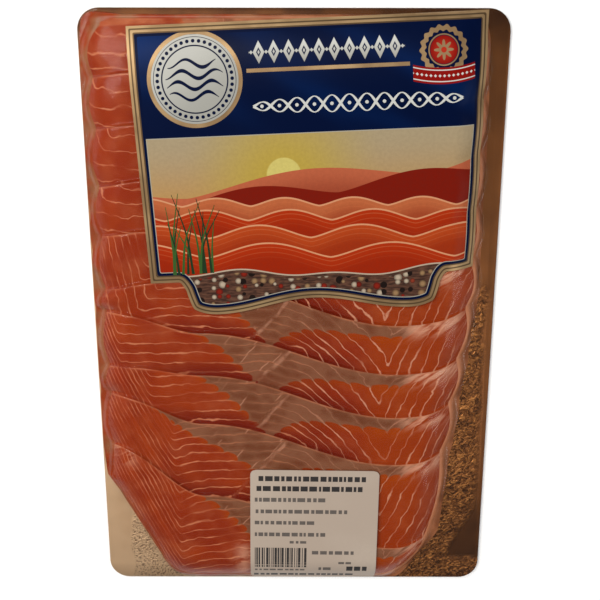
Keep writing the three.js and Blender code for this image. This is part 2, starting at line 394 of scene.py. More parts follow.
class Wiring:
    """Adds nodes to one node tree, each linked as it is made."""

    def __init__(self, tree):
        self.tree = tree
        self.count = 0

    @cached_property
    def place(self):
        return self.add("ShaderNodeTexCoord", out="Object")

    def node(self, kind, **settings):
        made = self.tree.nodes.new(kind)
        made.location = (180 * (self.count % 12) - 2200, -170 * (self.count // 12))
        self.count += 1
        for key, value in settings.items():
            setattr(made, key, value)
        return made

    def feed(self, socket, value):
        if isinstance(value, Value):
            self.tree.links.new(value.socket, socket)
        elif hasattr(value, "__len__"):
            socket.default_value = (*value[:3], 1.0)[:len(socket.default_value)]
        else:
            socket.default_value = value

    def add(self, kind, inputs={}, out=0, **settings):
        """A node with inputs by name or number. Gives one of its outputs."""
        made = self.node(kind, **settings)
        for name, value in inputs.items():
            self.feed(made.inputs[name], value)
        return Value(self, made.outputs[out])

    def math(self, operation, *values, clamp=False):
        return self.add("ShaderNodeMath", dict(enumerate(values)), operation=operation, use_clamp=clamp)

    def paint(self, colour, *coats):
        """Coats, each a share and a colour, laid in turn over a first colour."""
        for share, coat in coats:
            inputs = dict(zip(MIX_INPUTS, (share, colour, coat)))
            colour = self.add("ShaderNodeMix", inputs, MIX_RESULT, data_type="RGBA")
        return colour

    def mark(self, name, out="Fac"):
        """A value that the mesh carries at its points."""
        return self.add("ShaderNodeAttribute", out=out, attribute_name=name)

    def stretched(self, scale, turn=0.0, place=None):
        """A place turned about Z and then multiplied."""
        inputs = {"Vector": place or self.place, "Scale": [1.0 / value for value in scale],
                  "Rotation": (0.0, 0.0, turn)}
        return self.add("ShaderNodeMapping", inputs, vector_type="TEXTURE")

    def noise(self, scale, detail=2.0, roughness=0.5, distortion=0.0, place=None):
        inputs = {"Vector": place or self.place, "Scale": scale, "Detail": detail,
                  "Roughness": roughness, "Distortion": distortion}
        return self.add("ShaderNodeTexNoise", inputs, "Fac")

    def bump(self, height, strength, distance):
        inputs = {"Strength": strength, "Distance": distance, "Height": height}
        return self.add("ShaderNodeBump", inputs)

    def mottle(self, scale, first, second):
        inputs = {"Place": self.place, "Scale": scale, "First": first, "Second": second}
        return self.add("ShaderNodeGroup", inputs, node_tree=mottle_group())

    def grain(self, scale):
        inputs = {"Place": self.place, "Scale": scale}
        return self.add("ShaderNodeGroup", inputs, "Mask", node_tree=grain_group())

    def finish(self, inputs):
        """Feeds the material's Principled shader, by the names of its inputs."""
        shader = self.add("ShaderNodeBsdfPrincipled", inputs)
        self.feed(self.node("ShaderNodeOutputMaterial").inputs["Surface"], shader)
        return self.material


def new_material(name):
    """The wiring of a new material that has no nodes yet."""
    material = bpy.data.materials.new(name)
    material.use_nodes = True
    material.node_tree.nodes.clear()
    wire = Wiring(material.node_tree)
    wire.material = material
    return wire


def shared_group(name, takes, gives, build):
    """A shader node group, made once. build has its wiring and inputs, and gives its outputs."""
    if name not in bpy.data.node_groups:
        tree = bpy.data.node_groups.new(name, "ShaderNodeTree")
        for side, sockets in (("INPUT", takes), ("OUTPUT", gives)):
            for socket, kind in sockets.items():
                tree.interface.new_socket(socket, in_out=side, socket_type=f"NodeSocket{kind}")
        wire = Wiring(tree)
        given = wire.node("NodeGroupInput").outputs
        wanted = wire.node("NodeGroupOutput").inputs
        results = build(wire, *[Value(wire, given[socket]) for socket in takes])
        for socket, value in zip(gives, results):
            wire.feed(wanted[socket], value)
    return bpy.data.node_groups[name]


def mottle_group():
    """Two colours blended in soft uneven patches."""
    def build(wire, place, scale, first, second):
        share = wire.noise(scale, 3.0, place=place).step(0.36, 0.64)
        return [wire.paint(first, (share, second))]
    takes = {"Place": "Vector", "Scale": "Float", "First": "Color", "Second": "Color"}
    return shared_group("Mottle", takes, {"Colour": "Color"}, build)


def grain_group():
    """A fine even grain, as a mask and as a height."""
    def build(wire, place, scale):
        fine = wire.noise(scale, 4.0, 0.6, place=place)
        return [fine.step(0.35, 0.65), fine]
    gives = {"Mask": "Float", "Height": "Float"}
    return shared_group("Fine grain", {"Place": "Vector", "Scale": "Float"}, gives, build)


def wavy_edge_group():
    """How far a point lies below a rolling line with rounded crests."""
    def build(wire, across, down, height, size, length, start, lean):
        swell = abs(((across - start) / length).math("SINE")) ** 1.4
        return [down - (height - swell * size + across * lean)]
    names = ("Across", "Down", "Height", "Size", "Length", "Start", "Lean")
    return shared_group("Wavy edge", dict.fromkeys(names, "Float"), {"Below": "Float"}, build)


# ---------------------------------------------------------------- the slices

# One row of a grid that follows the slices' edges: shares of slice k's top edge and of the next
# one's, and an offset. It is pulled in at its ends by inset, and lies lift over the level that a
# slice has under the film, or where it is tucked away.
Row = namedtuple("Row", "own following offset inset lift tucked", defaults=(0.0, 0.0, False))


def row_y(k, rows, x):
    """The y of rows of slice k at x, which has one line for each row."""
    own, following, offset = np.array(rows, float)[:, :3].T[:, :, None]
    return own * top_edge(k, x) + following * top_edge(min(k + 1, LAST), x) + offset


def rows_between(k, start, foot, count):
    """Even rows from slice k's top edge, lowered by start, to the next edge, raised by foot."""
    rows = []
    for share in np.linspace(0.0, 1.0, count + 1):
        following = 0.0 if k == LAST else share
        rows.append(Row(1 - share, following, start * (1 - share) + foot * share))
    return rows


def slice_marks(k, x, y):
    """The values at a slice's points that its material draws fat lines, colours, painted shade and painted
    light from.
    """
    cut = SLICES[k]
    below = np.maximum(top_edge(k, x) - y, 0.0)
    seam = (x + 2.4 + 0.7 * below) / 1.22
    places = ((x, y), (x + REACH, y), (x, y + REACH))
    phase, right, up = (np.where(seam > 0, belly_phase(k, *at), back_phase(k, *at)) for at in places)
    pitch = REACH / np.maximum(np.hypot(right - phase, up - phase), 0.05 * REACH)
    grey_start = cut.tip + (-16.5 - cut.tip) * np.clip(below / 20.0, 0.0, 1.6) ** 0.8
    grey_depth = (5.6 + 8.8 * np.exp(-(x - 0.6) / 13.0)) * ease(60.0, 46.0, x)
    end = PILE_BOTTOM if k == LAST else top_edge(k + 1, x)
    # shade darkens the flesh in two places: towards the next slice's edge, as painted shade where that
    # slice lies over this one, and over the belly wedge beside the seam.
    shade_run = ease(-66.0, -40.0, x) * ease(40.0, 16.0, x) * (k < LAST)
    wedge_shade = 0.4 * ease(-8.0, 2.0, x) * ease(26.0, 8.0, x)
    edge_fat = ease(42.0, 56.0, x) * ease(77.0, 68.0, x) * bell(below, 1.5, 4.0)
    foot_fat = bell(x, -23.0, 3.5) * ease(-104.0, -112.0, y) * (k == LAST)
    back_fat = bell(x, -77.5, 5.5) * bell(below, 3.0, 4.0) * (k == LAST)
    return {
        "phase": phase,
        "pitch": np.minimum(pitch, 12.0),
        "grey_back": x - grey_start,
        "grey_belly": grey_depth - below,
        "seam": seam,
        "from_edge": top_edge(k, x) - y,
        "shade": np.maximum(shade_run * ease(8.5, 0.5, y - end), wedge_shade),
        "belly": ease(-5.0, 12.0, x),
        "faint": ease(-46.0, -60.0, x) * 0.1,
        "fat_patch": 1.3 * edge_fat + back_fat + 0.8 * foot_fat,
        # glow lays yellow over the belly beside the grey and over the slices' right ends. It is partly the
        # flesh's warm tone and partly painted light where the pile's shoulder turns away from the light.
        "glow": ease(26.0, 38.0, x) * (0.4 + 0.5 * ease(60.0, 46.0, x) * ease(15.0, 4.0, below)),
    }


def back_phase(k, x, y):
    """A whole number on each fat line of slice k's back: level, and turned up beyond the hook."""
    cut = SLICES[k]
    gap = size_of("far_line_gap" if k < FAR_SLICES else "line_gap")
    level = cut.line_y + cut.crest * math.exp((cut.hook_x - LINE_X) / HOOK_RUN) - y
    back = level - cut.crest * np.exp(-np.maximum(x - cut.hook_x, 0.0) / HOOK_RUN)
    limb = level - cut.crest + cut.lean * (cut.hook_x - x) + (1.0 - cut.drop) * (y - cut.line_y - 2.0)
    return -soft_min(-back / gap, -limb / gap, 0.6)


def belly_phase(k, x, y):
    """A whole number on each fat line of slice k's belly: arcs, and the flap beyond the V."""
    cut = SLICES[k]
    below = np.maximum(top_edge(k, x) - y, 0.0)
    pitch = np.maximum(12.4 - 0.3 * below, 6.4)
    arc = (cut.arc_x + 1.35 * below - 0.012 * below**2 - x) / pitch
    flap = (x - cut.vee_x + 0.4 * (below - VEE_DEPTH) - 6.0 * np.exp(-below / 3.0)) / 5.4
    return np.maximum(soft_min(below / 4.1, arc, 0.35), flap + VEE_LEVEL)


def slice_rows(k):
    """Rows of a slice's upper face, from its cut edge down to the part under the next slice."""
    if k == 0:
        rows = [Row(0, 0, PILE_TOP - far) for far in (0.02, 0.6, 1.6, 2.8)]
    else:
        rows = [Row(1, 0, -0.04, 0.3, 0.03, True), Row(1, 0, 0.06, 0.1, -0.03)]
    foot = PILE_BOTTOM + 4.0 if k == LAST else 0.06 + SEAM_GAP
    length = top_edge(k, 0.0) - (foot if k == LAST else top_edge(k + 1, 0.0))
    rows += rows_between(k, -0.35, foot, round(length / ROW_STEP))
    if k == LAST:
        rows += [Row(0, 0, PILE_BOTTOM + near) for near in (3.0, 2.0, 1.2, 0.5, 0.02)]
    else:
        rows.append(Row(0, 1, 0.0, 0.1, -0.06, True))
        rows += [Row(0, 1, -TUCK * share, 0.5, -0.06, True) for share in (0.35, 0.7, 1.0)]
    return rows


def build_slice(k):
    rows = slice_rows(k)
    inset, lift, tucked = np.array(rows, float)[:, 3:].T[:, :, None]
    left, right = (last_inside(lambda x: inside_pile(x, row_y(k, rows, x)) > 0,
                               np.zeros((len(rows), 1)), np.full((len(rows), 1), far))
                   for far in (-90.0, 90.0))
    left = left + inset + HAIR
    right = right - inset - HAIR
    x = left + (right - left) * spread(0.0, 1.0, SLICE_COLUMNS, 0.35)
    y = row_y(k, rows, x)
    plain = pile_height(x, y, 0.0)
    level = np.where(tucked > 0, plain, pile_height(x, y, step_share(x, y))) - SKIN + lift
    over_last = (top_edge(k, x) - y < TUCK + 0.6) & (k > 0)
    rest = np.where(over_last, plain - SKIN - 0.03, BOARD_TOP + HAIR)
    rest = np.minimum(rest, level - HAIR)
    upper, lower = (np.stack([x, y, z], axis=-1) for z in (level, rest))
    return slab(f"trout_slice_{k + 1:02d}", upper, lower, slice_marks(k, x, y))


def fat_line(wire, phase):
    """Mask of the fat lines: thin, uneven, and swollen like a lens here and there."""
    pitch = wire.mark("pitch")
    across = phase.math("PINGPONG", 0.5) * pitch
    swell = wire.noise(130.0).step(0.4, 0.7, 0.15, 0.42)
    thin = across / (swell * (pitch * 0.27 & 1.0))
    patchy = wire.noise(75.0, 3.0).step(0.36, 0.58, 0.2, 1.0)
    return thin.step(1.5, 0.45) * patchy.math("SUBTRACT", wire.mark("faint"), clamp=True), across


def cell_walls(wire, seam, flake_tone):
    """Mask of short cracks across the grey flakes, left of the seam."""
    run = seam * 0.11 + flake_tone * 7.0 + wire.noise(160.0) * 0.14
    crack = run.math("PINGPONG", 0.5).under(0.022, 0.014) * wire.noise(90.0).step(0.44, 0.56)
    return crack * seam.step(2.0, -2.0, 0.0, 0.5) * seam.step(-30.0, -16.0)


def grey_edges(wire, share):
    """Distance inside the grey flesh: every flake of orange flesh ends in a rounded tongue."""
    ragged = wire.noise(170.0, 3.0) * 4.0 - 2.0
    bow = share * 2.0 - 1.0
    arch = (1.0 - bow * bow).math("SQRT")
    back = wire.mark("grey_back") - arch * 4.0 + share * 3.4 + 1.1 + ragged
    return back & (wire.mark("grey_belly") - arch * 2.4 + 1.2 + ragged * 0.3)


def trout_material(colours):
    """Cut trout: orange flesh in flakes, pale fat lines, and a band of grey-brown flesh."""
    wire = new_material("Trout flesh")
    belly, shade, seam = (wire.mark(name) for name in ("belly", "shade", "seam"))
    sway = wire.noise(50.0) * 1.3 - 0.65
    phase = wire.mark("phase") + sway + (wire.noise(230.0) * 0.5 - 0.25)
    line, across = fat_line(wire, phase)
    flake = {"W": phase.math("FLOOR")}
    flake_tone = wire.add("ShaderNodeTexWhiteNoise", flake, "Value", noise_dimensions="1D")
    grey_edge = grey_edges(wire, phase.math("FRACT"))
    grey = grey_edge.step(-0.3, 0.3)

    flesh = wire.paint(
        wire.mottle(60.0, colours.flesh, colours.flesh_red),
        (flake_tone * 0.34, colours.flesh_deep_and_shade),
        (belly * 0.4, colours.flesh_red),
        (wire.noise(95.0, 5.0, 0.6).step(0.42, 0.7, 0.0, 0.55), colours.flesh_pale),
        # Yellow at the flakes' rims beside the grey, and by the glow mark, partly as painted light at the
        # slices' right ends.
        (grey_edge.step(-6.0, -0.2) * 0.6 | wire.mark("glow"), colours.flesh_yellow),
        # Painted shade: the flesh darkens towards the next slice's edge.
        (shade, colours.flesh_deep_and_shade))
    grey_flesh = wire.paint(
        wire.mottle(80.0, colours.grey, colours.grey_pale),
        (grey_edge.step(2.2, 0.2) * 0.6, colours.grey_pale),
        (across.step(1.7, 0.3) * 0.45, colours.grey_pale),
        (cell_walls(wire, seam, flake_tone), colours.fat_pale),
        # A little painted shade on the grey band too, by the next slice's edge.
        (shade * 0.16, colours.flesh_deep_and_shade))

    fat = wire.paint(colours.fat, (belly * 0.7, colours.fat_pale), (grey * 0.55, colours.grey_pale))
    seam_line = abs(sway * 7.0 + seam).step(1.0, 0.2) * grey
    streak = wire.noise(1.0, 3.0, place=wire.stretched((90.0, 420.0, 90.0), 0.6)).step(0.38, 0.58)
    fat_patch = (wire.mark("fat_patch") * streak).math("MULTIPLY", 0.8, clamp=True)
    edge_line = wire.mark("from_edge").step(1.0, 0.0)
    fibre = wire.noise(1.0, 3.0, place=wire.stretched((420.0, 1500.0, 900.0)))
    tissue = wire.paint(
        flesh,
        (grey, grey_flesh),
        (line * grey.step(0.0, 1.0, 0.9, 0.75), fat),
        (seam_line * wire.noise(150.0).step(0.35, 0.6, 0.05, 0.42), colours.fat_pale),
        (fat_patch, colours.fat_pale),
        (edge_line * wire.noise(100.0).step(0.35, 0.65, 0.1, 0.6), colours.fat),
        (fibre.step(0.3, 0.7, 0.0, 0.16), colours.flesh_deep_and_shade))
    return wire.finish({
        "Base Color": tissue,
        "Roughness": line.step(0.0, 1.0, 0.4, 0.5),
        "Normal": wire.bump(line * 0.6 + fibre * 0.45, 0.4, 0.0004),
        "Specular IOR Level": 0.1,
        "Subsurface Weight": 0.12,
        "Subsurface Radius": (1.0, 0.35, 0.2),
        "Subsurface Scale": 0.0012,
    })


# ---------------------------------------------------------------- film, board and juice

SEAL_INSETS = (0.0, 0.9, 1.9, 2.1, 2.3, 2.5, 3.0, 3.8)  # rows and columns round the board's rim


def bag_rows():
    """Slice and row of every line of the film's grid, which follows the slices' steps."""
    rows = [(0, Row(0, 0, SEAL_HALF_LENGTH - inset)) for inset in SEAL_INSETS]
    for k in range(len(SLICES)):
        rows += [(k, Row(1, 0, STEP_RUN * share)) for share in (1.0, 0.75, 0.5, 0.25, 0.0)]
        foot = PILE_BOTTOM + 6.0 if k == LAST else STEP_RUN + 0.6
        length = top_edge(k, 0.0) - (foot if k == LAST else top_edge(k + 1, 0.0) + foot)
        rows += [(k, row) for row in rows_between(k, 0.0, foot, round(length / FILM_ROW_STEP))[1:]]
    rows += [(0, Row(0, 0, PILE_BOTTOM + rise)) for rise in (5.0, 4.0, 3.0, 2.2, 1.4, 0.7, 0.1, -0.6)]
    return rows + [(0, Row(0, 0, inset - SEAL_HALF_LENGTH)) for inset in SEAL_INSETS[::-1]]


def creases(x, y):
    """Small folds that the film draws in round the pile and over the bare board."""
    near = np.exp(-np.abs(inside_pile(x, y) + 1.5) / 2.2)
    run = x * 0.9 + y * 0.35
    fold = np.abs(np.sin(y / 2.9 + 1.9 * np.sin(run / 7.0) + 0.8 * np.sin(y / 13.0)))
    return size_of("crease_depth") * near * fold**6 * (0.5 + 0.5 * np.sin(y / 9.0 + x / 21.0))


def build_film():
    """The bag: its upper face drawn over board and pile, its lower one flat."""
    rim = 1.0 - np.array(SEAL_INSETS) / SEAL_HALF_WIDTH
    shares = np.concatenate([-rim, spread(-rim[-1], rim[-1], FILM_COLUMNS, 0.3)[1:-1], rim[::-1]])
    y = np.stack([row_y(k, [row], shares * SEAL_HALF_WIDTH)[0] for k, row in bag_rows()])
    half = rounded_half_width(SEAL_HALF_WIDTH, SEAL_HALF_LENGTH, BOARD_CORNER + SEAL_WIDTH, y)
    x = shares * half
    inside = np.minimum(half - np.abs(x), SEAL_HALF_LENGTH - np.abs(y))
    on_board = ease(SEAL_WIDTH - BOARD_STEP, SEAL_WIDTH, inside)
    over = np.maximum(pile_height(x, y, step_share(x, y)) - creases(x, y), BOARD_TOP)
    upper = np.stack([x, y, SEAL_THICK + (over - SEAL_THICK) * on_board], axis=-1)
    return slab("clear_film", upper, upper * (1.0, 1.0, 0.0), sharp=80)


def film_material():
    """Thin clear film: it only adds its reflection, which grows towards grazing angles."""
    wire = new_material("Clear film")
    normal = wire.bump(wire.noise(150.0, 3.0, distortion=0.8), 0.3, 0.0006)
    fresnel = wire.add("ShaderNodeFresnel", {"IOR": 1.45, "Normal": normal})
    return wire.finish({
        "Base Color": (1.0, 1.0, 1.0),
        "Metallic": 1.0,
        "Roughness": 0.1,
        "Alpha": fresnel.math("MULTIPLY", FILM_REFLECTION, clamp=True),
        "Normal": normal,
    })


def board_mesh(name, low, high, inset, bevel, steps=10):
    """A board with rounded corners between two heights, its top edge bevelled."""
    corner = BOARD_CORNER - inset
    middle = (BOARD_HALF_WIDTH - BOARD_CORNER, BOARD_HALF_LENGTH - BOARD_CORNER)
    outline = []
    for quarter, signs in enumerate(((1, 1), (-1, 1), (-1, -1), (1, -1))):
        turn = math.pi / 2 * (quarter + np.arange(steps + 1) / steps)
        arc = corner * np.column_stack([np.cos(turn), np.sin(turn)])
        outline.append(np.multiply(signs, middle) + arc)
    outline = np.concatenate(outline)
    count = len(outline)
    shrink = 1.0 - bevel / np.hypot(*outline.T)
    rings = [(outline, low), (outline, high - bevel), (outline * shrink[:, None], high)]
    points = np.concatenate([np.column_stack([ring, np.full(count, z)]) for ring, z in rings])
    at = np.arange(2 * count).reshape(2, count)
    ahead = np.roll(at, -1, axis=1)
    sides = np.stack([at, ahead, ahead + count, at + count], axis=-1).reshape(-1, 4).tolist()
    faces = [list(range(count))[::-1], list(range(2 * count, 3 * count))] + sides
    return make_mesh(name, points, faces, sharp=50)


def gripped_patches(x, y, loose):
    """Mask of the board beside the pile, where the film has gripped the laminate in fine grains."""
    limit = y.step(-0.122, -0.088, 0.072, 0.0835)
    right = (limit + loose - x).step(-0.002, 0.002) * x.step(0.03, 0.05) * y.step(0.02, 0.008)
    corner = x.step(0.068, 0.074) * (y + loose).step(-0.118, -0.122)
    left = (x + loose).step(-0.076, -0.0745) * x.step(-0.02, -0.04) * (y + loose).step(-0.094, -0.1)
    return right | corner | left


def gold_material(colours):
    """Gold laminate: a soft mirror with patches of wormy grain. Its colour carries a painted reflection:
    paler at the left, darker along the right and the far edge, with painted highlights and shade on the
    grain.
    """
    wire = new_material("Gold laminate")
    x = wire.add("ShaderNodeSeparateXYZ", {0: wire.place}, "X")
    y = x.other("Y")
    loose = wire.noise(60.0, 3.0) * 0.006 - 0.003
    patch = gripped_patches(x, y, loose)
    # Painted reflection: the right and far side take a darker, shaded copy of the gold, and the left a
    # pale, lit one.
    rightward = x.step(0.0, 0.05) | y.step(-0.03, 0.08)
    fine = wire.noise(1.0, 2.0, 0.5, 0.6, wire.stretched((950.0, 1300.0, 950.0), 0.6))
    coarse = wire.noise(1.0, 2.5, 0.5, 1.2, wire.stretched((460.0, 640.0, 460.0), 0.5))
    crumple = (coarse - fine) * rightward + fine
    # Painted shade in the grain's grooves, stronger at the right, and painted highlights on its crests.
    groove = patch * crumple.step(0.5, 0.36) * x.step(0.0, 0.05, 0.66, 0.88)
    crest = patch * crumple.step(0.5, 0.64) * 0.75
    # Painted shade: darker towards the lower right, in patches, and along the far edge.
    dim = y.step(-0.07, -0.115, 0.05, 0.75) + loose.step(-0.001, 0.001, 0.0, 0.3)
    dim = dim * patch.step(0.0, 1.0, 1.0, 0.2)
    dim = dim.math("ADD", y.step(0.11, 0.125, 0.0, 0.6), clamp=True)
    gold = wire.paint(
        wire.mottle(38.0, colours.gold, colours.gold_dull),
        (rightward, wire.paint(colours.gold_shaded_side, (dim, colours.gold_shade))),
        (groove, colours.gold_shade),
        (crest, wire.paint(colours.gold, (rightward, colours.gold_highlight))))
    height = wire.noise(60.0) * 0.4 + crumple * patch * x.step(0.0, 0.05, 0.5, 1.6)
    return wire.finish({
        "Base Color": gold,
        "Metallic": 0.8,
        "Roughness": patch.step(0.0, 1.0, 0.48, 0.4),
        "Normal": wire.bump(height, 1.0, 0.0008),
    })


def card_material(name, colour, shade):
    """Plain card or paper with a fine grain."""
    wire = new_material(name)
    grain = wire.grain(900.0)
    dim = [0.9 * value for value in colour]
    return wire.finish({
        "Base Color": wire.paint(wire.mottle(30.0, colour, shade), (grain * 0.3, dim)),
        "Roughness": 0.62,
        "Normal": wire.bump(grain.other("Height"), 0.2, 0.0001),
    })


# Width of the rim of juice beside the pile, by the angle seen from the board's middle.
JUICE_TURNS = (-205, -142, -134, -118, -108, -90, -66, -48, 0, 40, 56, 60, 118, 124, 128, 155)
JUICE_WIDTHS = (3.2, 3.2, 0.6, 0.8, 3.2, 3.4, 3.6, 3.4, 2.8, 2.4, 2.2, 1.0, 1.0, 2.6, 3.2, 3.2)
JUICE_MARGIN = 0.4  # between the juice and the board's edge


def build_juice():
    """The rim of juice and soft fat that the film holds in round the slices."""
    degrees = np.linspace(-205.0, 154.5, 720)
    along = np.cos(np.radians(degrees)), np.sin(np.radians(degrees))
    width = np.interp(degrees, JUICE_TURNS, JUICE_WIDTHS)
    width = width * (1.0 + 0.1 * np.sin(degrees / 3.1) + 0.06 * np.sin(degrees / 1.3 + 1.0))

    def radius_at(level, scallop):
        """Distance from the board's middle at which the pile's outline distance has a value."""
        low, high = np.full(degrees.shape, 40.0), np.full(degrees.shape, 175.0)
        return last_inside(lambda r: inside_pile(r * along[0], r * along[1], scallop) > level, low, high)

    inner, outer = radius_at(0.25, SCALLOP), radius_at(-width, 0.0)
    shares = spread(0.0, 1.0, 9)[:, None]
    radius = inner + (outer - inner) * shares
    half_width, half_length = BOARD_HALF_WIDTH - JUICE_MARGIN, BOARD_HALF_LENGTH - JUICE_MARGIN
    y = radius * along[1]
    limit = rounded_half_width(half_width, half_length, BOARD_CORNER, y)
    x = np.clip(radius * along[0], -limit, limit)
    y = np.clip(y, -half_length, half_length)
    lip = BOARD_TOP - HAIR
    top = np.where(shares < 1.0, np.maximum(pile_height(x, y, step_share(x, y)) - 0.16, lip), lip)
    upper = np.stack([x, y, top], axis=-1)
    lower = upper * (1.0, 1.0, 0.0) + (0.0, 0.0, BOARD_TOP - 0.045)
    rings = np.concatenate([upper, lower[::-1]])
    # steep marks the juice's slope beside the slices, which its material paints paler, partly as painted
    # light.
    steep = np.repeat(ease(0.8, 0.2, np.concatenate([shares, shares[::-1]])), len(degrees))
    marks = {"leftward": ease(20.0, -40.0, rings[..., 0]), "steep": steep}
    faces = tube_faces(*rings.shape[:2]).tolist()
    return make_mesh("rim_juice", rings.reshape(-1, 3), faces, marks, sharp=80)


def juice_material(colours):
    """Soft fat and oil: orange along the left, tan along the right."""
    wire = new_material("Rim juice")
    tan = wire.mottle(80.0, colours.juice, colours.juice_pale)
    orange = wire.mottle(80.0, colours.flesh, colours.juice_pale)
    # Paler on the steep slope by the slices: partly the juice's pale tone and partly painted light where
    # that slope faces away from the light.
    coats = ((wire.mark("steep"), colours.juice_pale_and_lit), (wire.mark("leftward"), orange))
    return wire.finish({
        "Base Color": wire.paint(tan, *coats),
        "Alpha": wire.noise(120.0).step(0.25, 0.6, 0.72, 0.96),
        "Roughness": 0.3,
        "Specular IOR Level": 0.2,
    })


# ---------------------------------------------------------------- labels


def label_points(flat, place, lift):
    """Lays label coordinates (x from the middle line, length down) on the pack."""
    (centre_x, centre_y), turn = place
    x, down = flat[..., 0], flat[..., 1]
    across = centre_x + x * math.cos(turn) + down * math.sin(turn)
    along = centre_y + x * math.sin(turn) - down * math.cos(turn)
    level = pile_height(across, along, 1.0) + LABEL_GAP + lift
    return np.stack([across, along, level], axis=-1)


def label_slab(name, flat, place, marks=None):
    upper, lower = (label_points(flat, place, lift) for lift in (LABEL_THICK, 0.0))
    return slab(name, upper, lower, marks)


def side_top(x):
    """Half width of the front label's top edge on the side of x."""
    return np.where(np.asarray(x) < 0, FRONT_TOP_LEFT, FRONT_TOP_RIGHT)


def front_flat():
    """The grid of the front label's whole outline."""
    tongue, shoulder = FRONT_TONGUE
    wing = spread(shoulder, FRONT_SHOULDER, 14, 0.3)
    step = np.concatenate([spread(FRONT_LOBE, tongue, 12), spread(tongue, shoulder, 16)[1:-1]])
    middle = spread(-FRONT_LOBE, FRONT_LOBE, 56)[1:-1]
    columns = np.concatenate([-wing[::-1], -step[::-1], middle, step, wing])
    down = front_length(columns) * spread(0.0, 1.0, 110, 0.5)[:, None]
    top = side_top(columns) / FRONT_SHOULDER
    flare = top + (1.0 - top) * np.clip(down / FRONT_SIDE, 0.0, 1.0)
    return np.stack([columns * flare, down], axis=-1)


def front_outline():
    """Points once round the front label, from its top left corner down."""
    down = np.linspace(0.0, FRONT_SIDE, 60)
    left, right = (s * (side_top(s) + (FRONT_SHOULDER - side_top(s)) * down / FRONT_SIDE) for s in (-1, 1))
    shoulder = FRONT_TONGUE[1]
    wing = np.linspace(1.0 - FRONT_SHOULDER, -0.5 - shoulder, 8)
    step = np.linspace(0.1 - shoulder, 0.5 - FRONT_LOBE, 50)
    middle = np.linspace(1.5 - FRONT_LOBE, FRONT_LOBE - 1.5, 70)
    x = np.concatenate([wing, step, middle, -step[::-1], -wing[::-1]])
    top = np.linspace(FRONT_TOP_RIGHT, -FRONT_TOP_LEFT, 80)[1:-1]
    lines = ((left, down), (x, front_length(x)), (right[::-1], down[::-1]), (top, 0.0 * top))
    return np.concatenate([np.column_stack(line) for line in lines])


def rim_distance(flat, outline):
    """Distance of every label point from the label's outline."""
    points = flat.reshape(-1, 2)
    nearest = np.full(len(points), np.inf)
    for start, end in zip(outline, np.roll(outline, -1, axis=0)):
        leg = end - start
        along = np.clip(((points - start) @ leg) / max(leg @ leg, 1e-9), 0.0, 1.0)
        nearest = np.minimum(nearest, np.hypot(*(points - start - along[:, None] * leg).T))
    return nearest


class Print:
    """Strokes of ink on a label: thin closed sheets, each of one colour."""

    def __init__(self, place):
        self.place = place
        self.points, self.faces, self.inks = [], [], []
        self.count = 0

    def sheet(self, flat, layer, ink):
        """flat holds label coordinates, rows down and columns to the right."""
        upper = label_points(flat, self.place, LABEL_THICK + INK_LIFT * layer).reshape(-1, 3)
        self.points += [upper, upper - (0.0, 0.0, INK_LIFT * 0.6)]
        self.inks.append(np.tile(tuple(ink), (2 * len(upper), 1)))
        self.faces.append(slab_faces(*flat.shape[:2], self.count))
        self.count += 2 * len(upper)

    def ribbon(self, route, widths, layer, ink):
        """A stroke along a route of label points, with a width at each."""
        ahead = np.gradient(route, axis=0)
        ahead /= np.maximum(np.hypot(*ahead.T), 1e-9)[:, None]
        side = np.stack([ahead[:, 1], -ahead[:, 0]], axis=-1) * (widths / 2.0)[:, None]
        self.sheet(np.stack([route + side * share for share in (1.0, 0.33, -0.33, -1.0)]), layer, ink)

    def bar(self, x, top, bottom, rows, ink):
        """An even field over x places, between two lengths down."""
        self.sheet(np.stack(np.meshgrid(x, np.linspace(top, bottom, rows)), axis=-1), 1, ink)

    def build(self, name):
        points, faces, inks = (np.concatenate(part) for part in (self.points, self.faces, self.inks))
        return make_mesh(name, points, faces.tolist(), inks=inks)


def smooth_route(points, count):
    """A smooth line that passes through a few points."""
    p = np.asarray(points, float)
    p = np.concatenate([[2 * p[0] - p[1]], p, [2 * p[-1] - p[-2]]])
    out = []
    for at in np.linspace(0, len(p) - 3 - 1e-6, count):
        i, t = int(at), at - int(at)
        a, b, c, d = p[i:i + 4]
        out.append(b + (c - a) * t / 2 + (2 * a - 5 * b + 4 * c - d) * t**2 / 2
                   + (3 * b - a - 3 * c + d) * t**3 / 2)
    return np.array(out)


def ink_material(name, shine):
    """Printing ink in the colours that its strokes carry."""
    wire = new_material(name)
    coat = (wire.grain(1500.0) * 0.12, (0.02, 0.02, 0.03))
    return wire.finish({
        "Base Color": wire.paint(wire.mark("ink", "Color"), coat),
        "Roughness": shine,
        "Specular IOR Level": 0.2,
        "Normal": wire.bump(wire.noise(90.0), 0.15, 0.0005),
    })


HEADER_END = 44.3  # length of the navy header
NAVY_LINE = 1.1  # width of the navy line inside the foil border
KEYLINE = 0.3
EMBLEM = (-43.6, 21.5)
BEADS = 40.0
SEAL_PLACE = (55.5, 14.2)
RIBBON_HALF = 12.4
SUN_PLACE = (-10.0, 61.0)
LOZENGE_START, LOZENGE_PITCH, LOZENGE_LEVEL = -20.8, 6.0, 12.0
BAND_START, BAND_LENGTH, BAND_LEVEL = -21.0, 84.0, 33.0

# What each part of the front label's print is drawn with: across and down are label coordinates.
Sheet = namedtuple("Sheet", "wire across down inks")


def offsets(sheet, place):
    """Offsets and distance from a place on the label."""
    dx, dy = sheet.across - place[0], sheet.down - place[1]
    return dx, dy, (dx * dx + dy * dy).math("SQRT")


